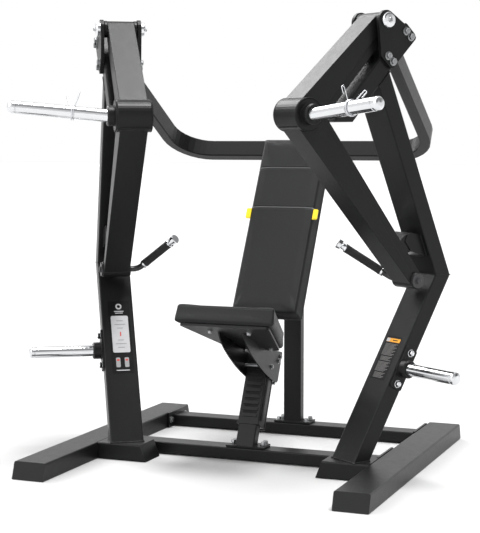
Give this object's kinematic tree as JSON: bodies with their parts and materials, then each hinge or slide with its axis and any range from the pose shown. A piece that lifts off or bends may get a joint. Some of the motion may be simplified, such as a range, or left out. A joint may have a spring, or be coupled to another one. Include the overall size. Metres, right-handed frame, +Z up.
{
  "type": "chest press machine",
  "caption": "Plate-loaded chest press machine: two independent swinging arms with grips and plate horns, an angled seat and back rest on a steel base.",
  "frame": {"origin": "on the floor, midway between the two feet along X and Y", "axes": "+Z up, -Y is the front that the person on the seat faces, +X to the right as seen from the front"},
  "size_m": [1.607, 1.22, 1.5659],
  "materials": {
    "frame_paint": "satin",
    "arm_paint": "satin",
    "seat_paint": "satin",
    "chrome": "polished",
    "stem_steel": "satin",
    "pin_steel": "brushed",
    "spring_steel": "bright",
    "grip_rubber": "matte",
    "bumper_rubber": "matte",
    "upholstery": "satin",
    "board": "matte",
    "tab_yellow": "matte"
  },
  "bodies": {
    "frame": {"foot_left": "frame_paint", "foot_right": "frame_paint", "stub_left": "frame_paint", "stub_right": "frame_paint", "cross_front": "frame_paint", "cross_rear": "frame_paint", "post_lower_left": "frame_paint", "post_lower_right": "frame_paint", "post_upper_left": "frame_paint", "post_upper_right": "frame_paint", "head_tube_left": "frame_paint", "head_tube_right": "frame_paint", "clevis_inner_left": "frame_paint", "clevis_inner_right": "frame_paint", "clevis_outer_left": "frame_paint", "clevis_outer_right": "frame_paint", "pivot_pin_left": "chrome", "pivot_pin_right": "chrome", "stop_bracket_left": "frame_paint", "stop_bracket_right": "frame_paint", "bumper_left": "bumper_rubber", "bumper_right": "bumper_rubber", "rack_plate_left": "frame_paint", "rack_plate_right": "frame_paint", "rack_horn_left": "chrome", "rack_horn_right": "chrome", "top_bar": "frame_paint", "back_post": "frame_paint", "back_carrier": "frame_paint", "back_board": "board", "back_pad": "upholstery", "pad_tab_left": "tab_yellow", "pad_tab_right": "tab_yellow", "seat_post": "frame_paint", "seat_ladder": "seat_paint"},
    "arm_left": {"arm_upper_left": "arm_paint", "arm_lower_left": "arm_paint", "elbow_left": "arm_paint", "arm_horn_left": "chrome", "pivot_hub_left": "arm_paint", "cross_sleeve_left": "arm_paint"},
    "arm_right": {"arm_upper_right": "arm_paint", "arm_lower_right": "arm_paint", "elbow_right": "arm_paint", "arm_horn_right": "chrome", "pivot_hub_right": "arm_paint", "cross_sleeve_right": "arm_paint"},
    "handle_left": {"handle_stem_left": "stem_steel", "grip_left": "grip_rubber", "grip_cap_left": "chrome"},
    "handle_right": {"handle_stem_right": "stem_steel", "grip_right": "grip_rubber", "grip_cap_right": "chrome"},
    "seat": {"seat_pad": "upholstery", "seat_carriage": "seat_paint", "seat_pin_front": "pin_steel", "seat_pin_rear": "pin_steel"},
    "spring_collar_left": {"collar_left": "spring_steel"},
    "spring_collar_right": {"collar_right": "spring_steel"}
  },
  "joints": [
    {"name": "arm_left_press", "type": "hinge", "parent": "frame", "child": "arm_left", "pos_m": [-0.4695, -0.0817, 1.5326], "axis": [-0.829, -0.5592, 0], "range_deg": [0, 38]},
    {"name": "arm_right_press", "type": "hinge", "parent": "frame", "child": "arm_right", "pos_m": [0.4695, -0.0817, 1.5326], "axis": [-0.829, 0.5592, 0], "range_deg": [0, 38]},
    {"name": "handle_left_swivel", "type": "hinge", "parent": "arm_left", "child": "handle_left", "pos_m": [-0.5601, 0.0526, 0.659], "axis": [0.829, 0.5592, 0], "range_deg": [-12, 12]},
    {"name": "handle_right_swivel", "type": "hinge", "parent": "arm_right", "child": "handle_right", "pos_m": [0.5601, 0.0526, 0.659], "axis": [0.829, -0.5592, 0], "range_deg": [-12, 12]},
    {"name": "seat_height", "type": "slide", "parent": "frame", "child": "seat", "axis": [0, 0.4384, 0.8988], "range_m": [-0.15, 0]},
    {"name": "collar_left_slide", "type": "slide", "parent": "arm_left", "child": "spring_collar_left", "axis": [-0.8259, -0.5571, 0.0872], "range_m": [-0.085, 0.185]},
    {"name": "collar_right_slide", "type": "slide", "parent": "arm_right", "child": "spring_collar_right", "axis": [0.8259, -0.5571, 0.0872], "range_m": [-0.16, 0.11]}
  ]
}
